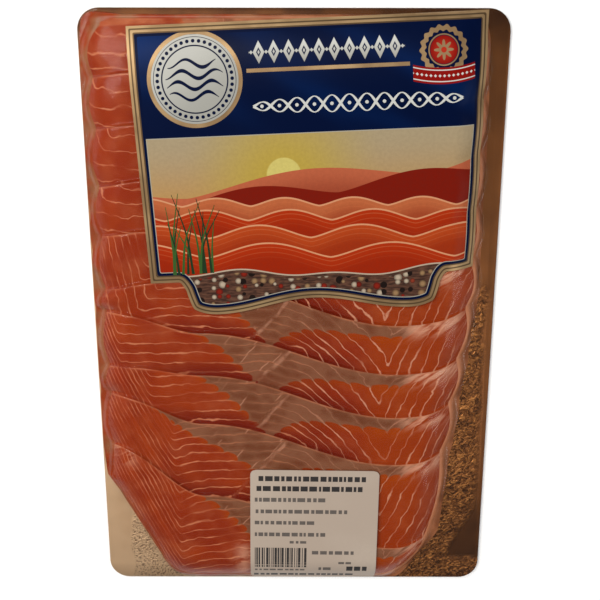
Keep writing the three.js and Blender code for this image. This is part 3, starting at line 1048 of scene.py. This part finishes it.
def wave_below(sheet, height, size, length, start, lean):
    inputs = {"Across": sheet.across, "Down": sheet.down, "Height": height, "Size": size,
              "Length": length, "Start": start, "Lean": lean}
    return sheet.wire.add("ShaderNodeGroup", inputs, node_tree=wavy_edge_group())


def shown(below):
    """1 below an edge and 0 above it."""
    return below.step(-0.08, 0.08)


def print_sky(sheet):
    """Evening sky, sun and hills."""
    wire, _, down, inks = sheet
    radius = offsets(sheet, SUN_PLACE)[2]
    colour = wire.paint(
        inks.sky,
        (down.step(HEADER_END, 78.0), inks.sky_low),
        (radius.step(44.0, 5.0, 0.0, 0.85), inks.sun),
        (radius.under(size_of("sun_radius"), 0.3), inks.sun_core))
    hills = ((66.0, 7.0, 31.0, -50.0, inks.hill_far), (70.0, 6.0, 22.0, 12.0, inks.hill_near))
    for *form, ink in hills:
        below = wave_below(sheet, *form, -0.066)
        misty = wire.paint(ink, (below.step(0.0, 11.0, 0.0, 0.5), inks.hill_near))
        colour = wire.paint(colour, (shown(below), misty))
    return colour


def print_water(sheet, colour):
    """Rolling water with pale crests and faint lines under them."""
    wire, _, _, inks = sheet
    waters = ((74.0, 3.4, 9.0, 4.0, inks.water_far), (80.0, 4.4, 11.0, 9.0, inks.water),
              (87.5, 5.4, 13.5, 0.0, inks.water_near), (96.0, 6.2, 16.5, 8.0, inks.water))
    for *form, ink in waters:
        below = wave_below(sheet, *form, 0.033)
        lines = below.math("PINGPONG", 1.05).under(0.16, 0.12) * below.step(8.0, 1.0, 0.0, 0.55)
        deep = wire.paint(
            ink,
            (below.step(1.0, 9.0, 0.0, 0.6), inks.water_deep),
            (lines, inks.crest_soft),
            (below.under(0.7), inks.crest))
        colour = wire.paint(colour, (shown(below), deep))
    return colour


def print_shore(sheet, colour):
    """Brown shore with a line of foam and mixed pebbles."""
    wire, across, down, inks = sheet
    swing = (across * (1.0 / 17.0) + 0.6).math("SINE") * 1.6
    ripple = (across * (1.0 / 6.3)).math("SINE") * 0.9
    below = down - (swing - ripple + 102.5)
    flat = wire.add("ShaderNodeCombineXYZ", {"X": across, "Y": down})
    sand = wire.noise(1.0, 4.0, place=wire.stretched((0.25, 1.3, 1.0), place=flat)).step(0.35, 0.7)
    cells = {"Vector": flat, "Scale": 0.27, "Randomness": 0.85}
    distance = wire.add("ShaderNodeTexVoronoi", cells, "Distance", voronoi_dimensions="2D")
    pick = wire.add("ShaderNodeSeparateColor", {0: distance.other("Color")})
    share = distance / (pick.other("Green") * 0.26 + 0.2)
    stone = wire.paint(
        inks.foam,
        (pick.under(0.62, 0.01), inks.pebble),
        (pick.under(0.4, 0.01), inks.pebble_red),
        (pick.under(0.24, 0.01), inks.pebble_dark),
        (share.step(0.3, 1.0, 0.0, 0.6), inks.pebble_dark))
    ground = wire.paint(
        inks.shore,
        (sand, inks.shore_light),
        (share.under(1.0, 0.06) * below.step(1.6, 2.0), stone),
        (below.under(0.6), inks.foam))
    return wire.paint(colour, (shown(below), ground))


def print_emblem(sheet, colour):
    """A silver roundel with four waves and a ring of beads, and the mask of its foil ring."""
    wire, _, _, inks = sheet
    rim = size_of("emblem_radius")
    dx, dy, radius = offsets(sheet, EMBLEM)
    silver = wire.paint(inks.disc, ((dx * 0.6 + dy).step(-16.0, 14.0), inks.disc_shade))
    for number, level in enumerate((-6.4, -2.1, 2.1, 6.4)):
        off = (dx * 0.465 + 0.8 * number).math("SINE") * -1.6 + dy - level
        stroke = (abs(off) - radius.step(13.0, 6.0, 0.08, 0.75)).under(0.0)
        silver = wire.paint(silver, (stroke * radius.under(11.6), inks.navy))
    ring = rim - 4.1
    turn = dy.math("ARCTAN2", dx) * (BEADS / math.tau)
    beside = turn.math("PINGPONG", 0.5) * (math.tau * ring / BEADS)
    apart = radius - ring
    bead = (beside * beside + apart * apart).math("SQRT").under(0.72)
    silver = wire.paint(
        silver,
        (bead, inks.navy),
        (radius.near(rim - 2.6, 0.12), inks.navy),
        (radius.near(rim - 5.9, 0.28), inks.navy))
    return wire.paint(colour, (radius.under(rim - 1.6), silver)), radius.near(rim - 0.8, 0.8)


def print_seal(sheet, colour):
    """A seal with a foil flower on red and a dotted red ribbon, and the mask of its foil."""
    wire, _, _, inks = sheet
    rim = size_of("seal_radius")
    dx, dy, radius = offsets(sheet, SEAL_PLACE)
    turn = dy.math("ARCTAN2", dx)
    scalloped = radius / ((turn * 18.0).math("COSINE") * 0.045 + 1.0)
    petals = radius / ((turn * 8.0).math("COSINE") * 0.36 + 1.0)
    flower = petals.under(2.9, 0.12) - radius.under(1.1, 0.12)
    level = dy - 6.8 + dx * dx * (1.6 / RIBBON_HALF**2)
    ribbon = level.near(3.2, 3.2) * dx.near(0.0, RIBBON_HALF)
    from_middle = abs(level - 3.2)
    dots = dx.math("PINGPONG", 0.9) + from_middle
    trim = from_middle.near(2.2, 0.2) | dots.under(0.6, 0.1)
    foil = (scalloped.near(rim - 1.0, 1.0) | radius.near(rim - 3.4, 0.25) | flower) * (1.0 - ribbon)
    colour = wire.paint(
        colour,
        (radius.under(rim - 2.0), inks.navy),
        (radius.under(rim - 3.9), wire.paint(inks.seal_light, (radius.step(0.0, 6.0), inks.seal_red))),
        (ribbon, wire.paint(inks.seal_red, (trim, inks.silver))))
    return colour, foil


def print_lozenges(sheet, colour):
    """A row of silver lozenges over the rule, with small dots between them."""
    wire, across, down, inks = sheet
    half = LOZENGE_PITCH / 2
    cell = (across - LOZENGE_START).math("PINGPONG", half)
    dy = abs(down - LOZENGE_LEVEL)
    size = (half - cell) / 2.3 + dy / 4.4
    shape = (size.under(1.0, 0.05) - size.under(0.42, 0.05)) | size.under(0.2, 0.05)
    row = across.near(LOZENGE_START + 5 * LOZENGE_PITCH, 5 * LOZENGE_PITCH + 0.9)
    gleam = down.step(LOZENGE_LEVEL - 4.5, LOZENGE_LEVEL + 4.5)
    silver = wire.paint(inks.silver, (gleam, inks.silver_shade))
    return wire.paint(colour, ((shape | (cell + dy).under(0.75)) * row, silver))


def front_material(inks):
    """The printed front label: foil border, navy header and a plain picture of the sea."""
    wire = new_material("Front label print")
    across, down, rim = (wire.mark(name) for name in ("across", "down", "rim"))
    sheet = Sheet(wire, across, down, inks)
    picture = print_shore(sheet, print_water(sheet, print_sky(sheet)))
    picture = wire.paint(picture, (wire.grain(700.0) * 0.08, inks.shore))
    sheen = wire.noise(1.0, 1.5, place=wire.stretched((9.0, 40.0, 9.0), -0.5)).step(0.45, 0.8, 0.0, 0.7)
    corner = across.step(-30.0, -70.0) * down.step(26.0, 6.0)
    colour = wire.paint(
        inks.navy,
        (sheen | corner, inks.navy_sheen),
        (down.step(HEADER_END - 0.1, HEADER_END + 0.1), picture),
        (down.near(HEADER_END, 0.16), inks.keyline))
    colour, ring = print_emblem(sheet, colour)
    colour, seal = print_seal(sheet, colour)
    foil_end = size_of("foil_width")
    navy_end = foil_end + NAVY_LINE
    colour = wire.paint(
        print_lozenges(sheet, colour),
        (rim.under(navy_end + KEYLINE) * down.step(HEADER_END, HEADER_END + 1.0), inks.keyline),
        (rim.under(navy_end), inks.navy))
    rule = down.near(18.9, 0.75) * across.near(9.5, 32.4)
    foil = ring | seal | rule | rim.under(foil_end)
    gold = wire.paint(
        inks.foil,
        (wire.noise(60.0, 3.0).step(0.35, 0.7), inks.foil_dull),
        (rim.near(1.3, 0.3), inks.foil_dark),
        (rim.near(foil_end - 0.1, 0.45), inks.foil_dark))
    return wire.finish({
        "Base Color": wire.paint(colour, (foil, gold)),
        "Metallic": foil * 0.5,
        "Roughness": foil.step(0.0, 1.0, 0.34, 0.4),
        "Normal": wire.bump(wire.noise(80.0), 0.15, 0.0005),
        "Specular IOR Level": 0.04,
    })


def print_strokes(inks):
    """A white band of interlaced waves in the header, and reeds at the picture's left."""
    ink = Print(FRONT_PLACE)
    rng = random.Random(7)
    run = np.linspace(0.0, BAND_LENGTH, 240)
    swell = 3.4 * np.sin(np.pi * run / BAND_LENGTH).clip(0.0) ** 0.35
    turn = run * math.pi / 7.0
    for sign, layer in ((1.0, 1), (-1.0, 1.6)):
        route = np.stack([BAND_START + run, BAND_LEVEL + sign * swell * np.sin(turn)], axis=-1)
        ink.ribbon(route, 0.4 + 0.62 * np.abs(np.cos(turn)) ** 1.5, layer, inks.silver)
    dot = np.linspace(-0.7, 0.7, 9)
    round_widths = 1.4 * np.sqrt(1.0 - np.linspace(-0.98, 0.98, 9) ** 2)
    for n in range(12):
        route = np.stack([dot + BAND_START + 3.5 + 7.0 * n, np.full(9, BAND_LEVEL)], axis=-1)
        ink.ribbon(route, round_widths, 1, inks.silver)
    for n in range(16):
        foot = rng.uniform(-59.0, -38.0)
        tall = size_of("reed_height") * rng.uniform(0.65, 1.2)
        bend = rng.uniform(-9.0, 10.0)
        if foot + bend < -60.5:
            bend = 4.0
        base = 101.6 - 0.02 * (foot + 50.0)
        route = smooth_route([(foot, base), (foot + bend * 0.25, base - tall * 0.5),
                              (foot + bend, base - tall)], 16)
        shade = inks.reed if n % 2 else inks.reed_dark
        ink.ribbon(route, np.linspace(1.1, 0.2, 16), 1 + n * 0.12, shade)
    return ink.build("label_strokes")


def info_flat():
    corner = spread(0.0, INFO_CORNER, 6)
    middle = spread(INFO_CORNER, INFO_LENGTH - INFO_CORNER, 44)[1:-1]
    rows = np.concatenate([corner, middle, (INFO_LENGTH - corner)[::-1]])[:, None]
    half = INFO_LENGTH / 2
    x = rounded_half_width(INFO_WIDTH / 2, half, INFO_CORNER, half - rows) * spread(-1.0, 1.0, 44)
    return np.stack([x, rows + 0.0 * x], axis=-1)


# Rows of bars on the small label: length down, height, start, end, and 1 where they are strong.
INFO_ROWS = (
    (3.0, 2.5, -25.3, 23.0, 1), (8.0, 2.5, -26.2, 21.6, 1), (13.9, 2.0, -27.0, 5.0, 0),
    (19.9, 1.9, -26.6, 15.0, 0), (25.7, 1.8, -27.0, 0.7, 0), (31.7, 1.9, -27.0, 5.7, 0),
    (36.0, 1.3, -11.0, -3.4, 0), (41.1, 1.8, -0.7, 18.5, 0), (46.8, 1.2, 11.6, 18.5, 0),
    (50.2, 2.0, 2.5, 9.4, 0), (49.5, 3.2, 15.4, 26.0, 1), (51.5, 1.2, -27.0, -4.0, 0),
    (55.6, 2.3, -27.6, 20.0, 1),
)
BLOCK_START, BLOCK_END, BLOCK_TOP, BLOCK_BOTTOM = -27.0, -3.8, 39.6, 50.2


def print_info(inks):
    """Rows of plain bars where such a label has its lines, and a block of upright bars."""
    ink = Print(INFO_PLACE)
    rng = random.Random(11)
    for down, height, at, end, strong in INFO_ROWS:
        while at < end - 1.0:
            wide = min(rng.uniform(1.0, 3.6), end - at)
            shade = inks.mark if strong else inks.mark_thin
            ink.bar(np.linspace(at, at + wide, 5), down, down + height, 4, shade)
            at += wide + rng.uniform(0.5, 1.0)
    at = BLOCK_START
    while at < BLOCK_END:
        wide = rng.choice((0.35, 0.35, 0.7, 1.05))
        ink.bar([at, at + wide], BLOCK_TOP, BLOCK_BOTTOM, 6, inks.mark)
        at += wide + rng.choice((0.35, 0.7))
    return ink.build("info_marks")


# ---------------------------------------------------------------- settings a user would change


def colour(name, text, *screen):
    """A colour setting, given as 0 to 255 screen values."""
    return bpy.props.FloatVectorProperty(name=name, description=text, subtype="COLOR", size=3,
                                         min=0.0, max=1.0, default=srgb(*screen))


def size(name, text, value):
    return bpy.props.FloatProperty(name=name, description=text, subtype="DISTANCE", unit="LENGTH",
                                   min=0.0, precision=5, default=value)


def power(name, text, value):
    return bpy.props.FloatProperty(name=name, description=text, subtype="POWER", unit="POWER",
                                   min=0.0, default=value)


class TroutSizes(bpy.types.PropertyGroup):
    line_gap: size("Fat line gap", "Distance between the fat lines along the back", 0.0044)
    far_line_gap: size("Far fat line gap", "The same on the slices under the front label", 0.0066)
    crease_depth: size("Crease depth", "Depth of the film's small folds round the pile", 0.00013)
    foil_width: size("Foil width", "Width of the front label's foil border", 0.0031)
    emblem_radius: size("Emblem radius", "Radius of the round emblem with its ring", 0.019)
    seal_radius: size("Seal radius", "Radius of the round seal", 0.0093)
    sun_radius: size("Sun radius", "Radius of the sun in the picture", 0.007)
    reed_height: size("Reed height", "Usual height of the reeds in the picture", 0.031)


class TroutColours(bpy.types.PropertyGroup):
    flesh: colour("Flesh", "Orange flesh", 144, 51, 13)
    flesh_red: colour("Red flesh", "Redder patches of the flesh", 134, 41, 11)
    flesh_pale: colour("Pale flesh", "Paler clouds in the flesh", 152, 70, 38)
    # Deep flesh is the flakes' darker tone and also the painted shade by the next slice's edge.
    flesh_deep_and_shade: colour("Deep flesh", "Darkest flesh, by the next slice", 106, 26, 8)
    # Yellow flesh also lies over the slices' right ends, partly as painted light.
    flesh_yellow: colour("Yellow flesh", "Flesh beside the grey band", 152, 60, 3)
    grey: colour("Grey flesh", "Grey-brown band under each top edge", 104, 59, 36)
    grey_pale: colour("Pale grey flesh", "Paler parts of that band", 124, 80, 56)
    fat: colour("Fat", "Fat lines", 190, 116, 80)
    fat_pale: colour("Pale fat", "Belly lines and streaky fat at the slices' ends", 198, 142, 114)
    juice: colour("Juice", "Juice along the slices' ends", 112, 62, 34)
    juice_pale: colour("Pale juice", "Paler juice", 140, 86, 54)
    # Juice at the slices is partly the juice's pale tone and partly painted light on its steep slope.
    juice_pale_and_lit: colour("Juice at the slices", "Juice close to the slices' right ends", 184, 116, 78)
    # The laminate's colours are lit and shaded copies of one gold. Gold paints the pale reflection at the
    # left, Deep gold the shaded right, Bright gold the highlights on the grain's crests, and Gold shade
    # the shade in its grooves.
    gold: colour("Gold", "Pale gold laminate", 214, 178, 140)
    gold_dull: colour("Dull gold", "Duller patches of the laminate", 202, 164, 126)
    gold_shaded_side: colour("Deep gold", "Laminate along the right", 126, 76, 37)
    gold_highlight: colour("Bright gold", "Crests of the grain along the right", 190, 126, 66)
    gold_shade: colour("Gold shade", "Grooves of the laminate", 66, 36, 15)
    card: colour("Card back", "Back of the board", 190, 188, 184)


class TroutInks(bpy.types.PropertyGroup):
    navy: colour("Navy", "Header and inner line of the front label", 1, 11, 42)
    navy_sheen: colour("Navy sheen", "Soft blue sheen of the header", 2, 34, 84)
    foil: colour("Foil", "Gold border, ring and rule", 158, 130, 94)
    foil_dull: colour("Dull foil", "Duller foil", 128, 102, 72)
    foil_dark: colour("Dark foil", "Lines within the border", 84, 66, 46)
    silver: colour("Silver", "White and silver ornament", 188, 188, 182)
    silver_shade: colour("Shaded silver", "Lower part of silver ornament", 150, 148, 140)
    disc: colour("Disc", "Upper part of the emblem's disc", 172, 171, 164)
    disc_shade: colour("Shaded disc", "Lower part of the emblem's disc", 146, 145, 138)
    keyline: colour("Keyline", "Fine pale line round the picture", 150, 146, 134)
    seal_red: colour("Seal red", "Middle and ribbon of the seal", 122, 14, 8)
    seal_light: colour("Light seal red", "Centre of the seal", 162, 44, 26)
    sky: colour("Sky", "High sky of the picture", 150, 134, 106)
    sky_low: colour("Low sky", "Sky near the water", 164, 124, 70)
    sun: colour("Sun glow", "Glow round the sun", 164, 140, 50)
    sun_core: colour("Sun", "Disc of the sun", 184, 170, 96)
    hill_far: colour("Far hills", "Far hills of the picture", 164, 84, 56)
    hill_near: colour("Near hills", "Near hills of the picture", 108, 20, 8)
    water_far: colour("Far water", "Water under the hills", 166, 88, 52)
    water: colour("Water", "Rolling water", 154, 42, 10)
    water_near: colour("Near water", "Nearest water", 160, 60, 22)
    water_deep: colour("Deep water", "Water between the crests", 122, 24, 6)
    crest: colour("Crest", "Pale crests of the water", 190, 132, 96)
    crest_soft: colour("Soft crest", "Faint lines under a crest", 176, 92, 56)
    shore: colour("Shore", "Brown shore", 54, 36, 30)
    shore_light: colour("Light shore", "Lighter streaks of the shore", 92, 62, 48)
    foam: colour("Foam", "Foam and the palest pebbles", 166, 150, 130)
    pebble: colour("Pebble", "Tan pebbles", 138, 108, 76)
    pebble_dark: colour("Dark pebble", "Dark pebbles", 26, 18, 16)
    pebble_red: colour("Red pebble", "Red pebbles", 120, 30, 18)
    reed: colour("Reed", "Reeds", 44, 80, 28)
    reed_dark: colour("Dark reed", "Reeds in shade", 18, 42, 14)
    paper: colour("Paper", "Small paper label", 168, 152, 137)
    paper_shade: colour("Paper shade", "Uneven tone of that paper", 162, 145, 130)
    mark: colour("Mark", "Strong bars on the small label", 44, 40, 38)
    mark_thin: colour("Thin mark", "Fainter bars on the small label", 90, 82, 76)


class TroutStudio(bpy.types.PropertyGroup):
    key_power: power("Key light", "Power of the large soft light at the upper left", 11.2)
    glint_power: power("Glint light", "Power of the small light that glints on the film", 1.5)
    fill_power: power("Fill light", "Power of the weaker light at the right", 3.1)
    sky: bpy.props.FloatProperty(
        name="Room light", description="Strength of the even light of the room", default=0.33, min=0.0)
    floor: colour("Floor", "Plain pale floor", 249.3, 249.3, 249.3)


# ---------------------------------------------------------------- operators


class TROUT_OT_slices(bpy.types.Operator):
    """Make the ten shingled slices"""
    bl_idname = "trout.slices"
    bl_label = "Slices"

    def execute(self, context):
        material = trout_material(context.scene.trout_colours)
        for k in range(len(SLICES)):
            dress(build_slice(k), material, "sealed_pack")
        return {"FINISHED"}


class TROUT_OT_board(bpy.types.Operator):
    """Make the gold board, its plain back and the rim of juice on it"""
    bl_idname = "trout.board"
    bl_label = "Board"

    def execute(self, context):
        colours = context.scene.trout_colours
        board = board_mesh("gold_board", *BOARD_LEVELS, BOARD_INSET, 0.12)
        dress(board, gold_material(colours), "sealed_pack")
        back = board_mesh("board_back", *BACK_LEVELS, BOARD_INSET, 0.02)
        card = card_material("Card back", colours.card, [0.93 * value for value in colours.card])
        dress(back, card, "sealed_pack")
        dress(build_juice(), juice_material(colours), "sealed_pack")
        return {"FINISHED"}


class TROUT_OT_film(bpy.types.Operator):
    """Make the clear bag that is drawn tight over the board and the slices"""
    bl_idname = "trout.film"
    bl_label = "Film"

    def execute(self, context):
        dress(build_film(), film_material(), "sealed_pack")
        return {"FINISHED"}


class TROUT_OT_front_label(bpy.types.Operator):
    """Make the front label with its border, header and picture"""
    bl_idname = "trout.front_label"
    bl_label = "Front label"

    def execute(self, context):
        inks = context.scene.trout_inks
        flat = front_flat()
        marks = {"across": flat[..., 0], "down": flat[..., 1], "rim": rim_distance(flat, front_outline())}
        card = label_slab("front_card", flat, FRONT_PLACE, marks)
        dress(card, front_material(inks), "front_label")
        ink = ink_material("Ink of the front label", 0.35)
        dress(print_strokes(inks), ink, "front_label")
        return {"FINISHED"}


class TROUT_OT_info_label(bpy.types.Operator):
    """Make the small paper label with its plain marks"""
    bl_idname = "trout.info_label"
    bl_label = "Paper label"

    def execute(self, context):
        inks = context.scene.trout_inks
        paper = card_material("Label paper", inks.paper, inks.paper_shade)
        dress(label_slab("info_card", info_flat(), INFO_PLACE), paper, "info_label")
        dress(print_info(inks), ink_material("Ink of info marks", 0.6), "info_label")
        return {"FINISHED"}


CAMERA_PLACE = Vector((2.65, 146.87, 428.14)) * MM
CAMERA_TILT = math.radians(18.0)
CAMERA_ROLL = 0.001887
CAMERA_LENS = 61.994
CAMERA_SENSOR = 36.0
FLOOR_HALF = 3.0
FLOOR_LEVEL = -0.0002


def area_light(name, place, size, power, colour):
    """A square light that shines at the pack."""
    light = bpy.data.lights.new(name, "AREA")
    light.size, light.energy, light.color = size, power, colour
    lamp = link(name, light)
    lamp.location = place
    lamp.rotation_euler = (-Vector(place)).to_track_quat("-Z", "Y").to_euler()


class TROUT_OT_studio(bpy.types.Operator):
    """Make the floor, the lights and the camera"""
    bl_idname = "trout.studio"
    bl_label = "Studio"

    def execute(self, context):
        scene, studio = context.scene, context.scene.trout_studio
        mesh = bpy.data.meshes.new("studio_floor")
        signs = ((-1, -1), (1, -1), (1, 1), (-1, 1))
        mesh.from_pydata([(a * FLOOR_HALF, b * FLOOR_HALF, FLOOR_LEVEL) for a, b in signs], [], [range(4)])
        floor = link("studio_floor", mesh)
        plain = new_material("Studio floor").finish({"Base Color": studio.floor, "Roughness": 0.9})
        mesh.materials.append(plain)

        scene.world = bpy.data.worlds.new("studio_room")
        scene.world.use_nodes = True
        room = scene.world.node_tree.nodes["Background"].inputs
        room["Color"].default_value = (0.94, 0.97, 1.0, 1.0)
        room["Strength"].default_value = studio.sky
        area_light("key_light", (-0.55, 0.35, 0.85), 0.7, studio.key_power, (1.0, 0.97, 0.92))
        area_light("fill_light", (0.8, -0.3, 0.6), 0.6, studio.fill_power, (1.0, 0.98, 0.95))
        area_light("glint_light", (-0.12, 0.5, 0.8), 0.07, studio.glint_power, (1.0, 1.0, 1.0))
        scene.view_settings.view_transform = "Standard"

        lens = bpy.data.cameras.new("photo_camera")
        lens.lens, lens.sensor_width = CAMERA_LENS, CAMERA_SENSOR
        lens.clip_start, lens.clip_end = 0.02, 20.0
        scene.camera = link("photo_camera", lens)
        turn = Matrix.Rotation(-CAMERA_TILT, 4, "X") @ Matrix.Rotation(CAMERA_ROLL, 4, "Z")
        scene.camera.matrix_world = Matrix.Translation(CAMERA_PLACE) @ turn
        return {"FINISHED"}


class TROUT_PT_panel(bpy.types.Panel):
    """Buttons and settings of the trout pack"""
    bl_idname = "TROUT_PT_panel"
    bl_label = "Trout pack"
    bl_space_type = "VIEW_3D"
    bl_region_type = "UI"
    bl_category = "Trout Pack"

    def draw(self, context):
        for operator in OPERATORS:
            self.layout.operator(operator.bl_idname)
        for group in SETTINGS:
            settings = getattr(context.scene, group)
            box = self.layout.box()
            for name in settings.__annotations__:
                box.prop(settings, name)


OPERATORS = (TROUT_OT_board, TROUT_OT_slices, TROUT_OT_film, TROUT_OT_front_label,
             TROUT_OT_info_label, TROUT_OT_studio)
SETTINGS = {"trout_sizes": TroutSizes, "trout_colours": TroutColours, "trout_inks": TroutInks,
            "trout_studio": TroutStudio}


def register():
    for kind in (*SETTINGS.values(), *OPERATORS, TROUT_PT_panel):
        bpy.utils.register_class(kind)
    for name, kind in SETTINGS.items():
        setattr(bpy.types.Scene, name, bpy.props.PointerProperty(type=kind))


def unregister():
    for name in SETTINGS:
        delattr(bpy.types.Scene, name)
    for kind in (TROUT_PT_panel, *reversed(OPERATORS), *reversed(SETTINGS.values())):
        bpy.utils.unregister_class(kind)


def main():
    register()
    bpy.ops.trout.board()
    bpy.ops.trout.slices()
    bpy.ops.trout.film()
    bpy.ops.trout.front_label()
    bpy.ops.trout.info_label()
    bpy.ops.trout.studio()


if __name__ == "__main__":
    main()
